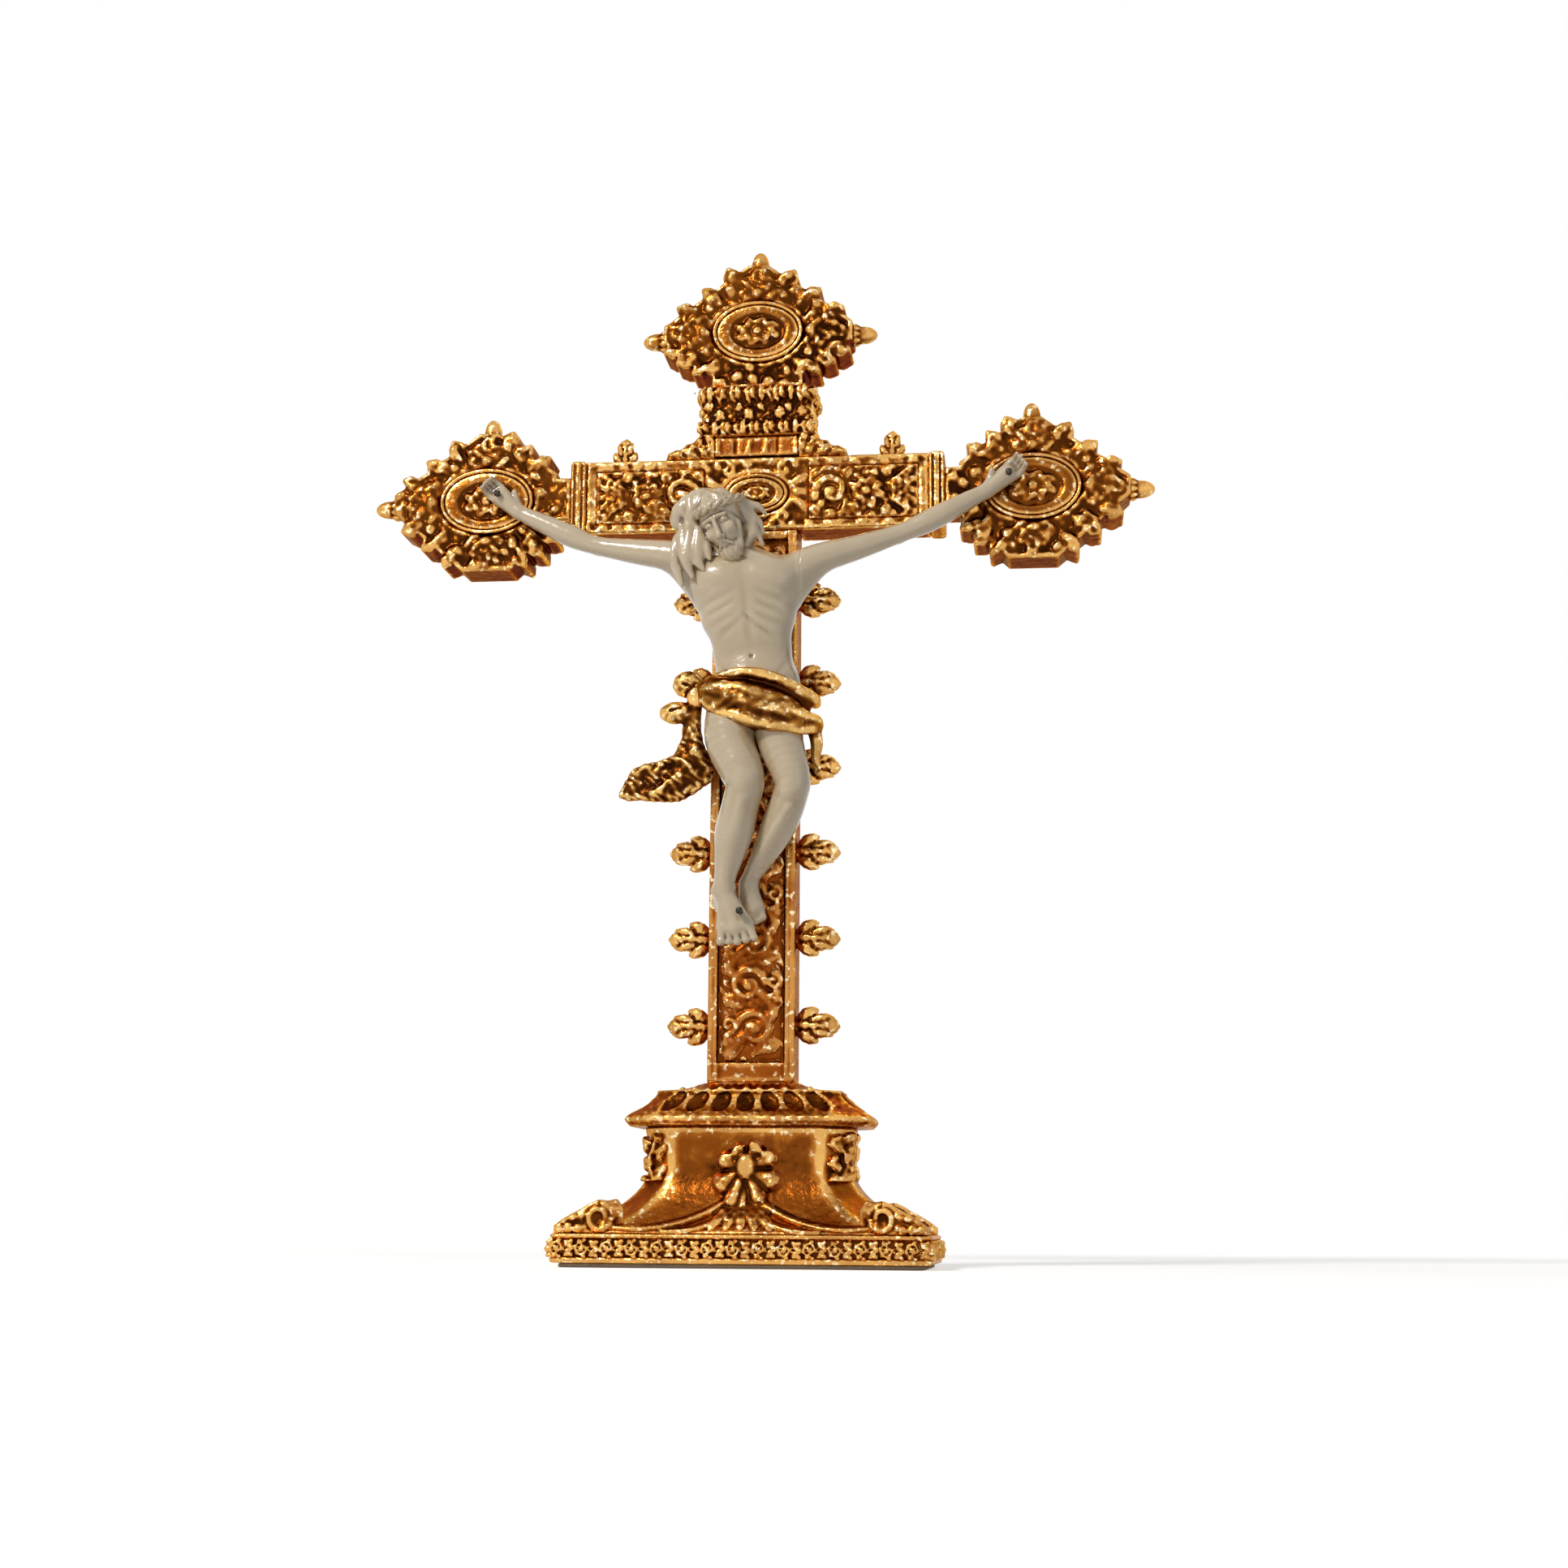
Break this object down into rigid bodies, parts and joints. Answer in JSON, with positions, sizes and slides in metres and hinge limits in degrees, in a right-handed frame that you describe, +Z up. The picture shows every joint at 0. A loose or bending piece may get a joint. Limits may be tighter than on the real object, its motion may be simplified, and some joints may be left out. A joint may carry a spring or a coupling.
{
  "type": "standing crucifix",
  "caption": "Gilt standing table crucifix with trefoil ends, leafy crockets, an ivory enamelled figure and a concave pedestal base from which the cross lifts out",
  "frame": {"origin": "middle of the underside of the felt pad, on the surface the crucifix stands on", "axes": "+Z up along the shaft, -Y the front with the figure, +X to the viewer's right"},
  "size_m": [0.23, 0.0572, 0.2973],
  "materials": {
    "gilt": "gilded casting, burnished on the high relief, amber lacquer in the recesses",
    "gilt_cloth": "gilded casting, burnished folds",
    "ivory_enamel": "glossy off-white enamel, slightly stained in the hollows",
    "steel": "plain fixings",
    "felt": "pale grey felt"
  },
  "bodies": {
    "base": {"felt_pad": "felt", "bottom_plate": "steel", "bottom_screws": "steel", "plinth": "gilt", "plinth_frieze": "gilt", "pedestal": "gilt", "palmette": "gilt", "corner_leaves": "gilt", "corner_volutes": "gilt", "cornice": "gilt", "socket_sleeve": "steel", "sleeve_bolt": "steel"},
    "cross": {"centre_medallion": "gilt", "centre_medallion_ring": "gilt", "corpus_head": "ivory_enamel", "corpus_left_arm": "ivory_enamel", "corpus_left_leg": "ivory_enamel", "corpus_nut": "steel", "corpus_right_arm": "ivory_enamel", "corpus_right_leg": "ivory_enamel", "corpus_stud": "steel", "corpus_torso": "ivory_enamel", "crossbar": "gilt", "crossbar_crockets": "gilt", "crown_of_thorns": "ivory_enamel", "foot_nail": "steel", "hand_nails": "steel", "lap_screws": "steel", "left_end_bar": "gilt", "left_medallion": "gilt", "left_medallion_ring": "gilt", "left_scroll_panel": "gilt", "left_trefoil": "gilt", "left_trefoil_buds": "gilt", "loincloth": "gilt_cloth", "loincloth_tail": "gilt_cloth", "neck_collar": "gilt", "neck_peg": "steel", "right_end_bar": "gilt", "right_medallion": "gilt", "right_medallion_ring": "gilt", "right_scroll_panel": "gilt", "right_trefoil": "gilt", "right_trefoil_buds": "gilt", "shaft": "gilt", "shaft_crockets": "gilt", "shoulder_pegs": "steel", "spandrel_leaves": "gilt", "tenon_pins": "steel", "top_medallion": "gilt", "top_medallion_ring": "gilt", "top_trefoil": "gilt", "top_trefoil_buds": "gilt", "vine_panel": "gilt"}
  },
  "joints": [
    {"name": "cross_lift", "type": "slide", "parent": "base", "child": "cross", "axis": [0, 0, 1], "range_m": [0, 0.034]}
  ]
}
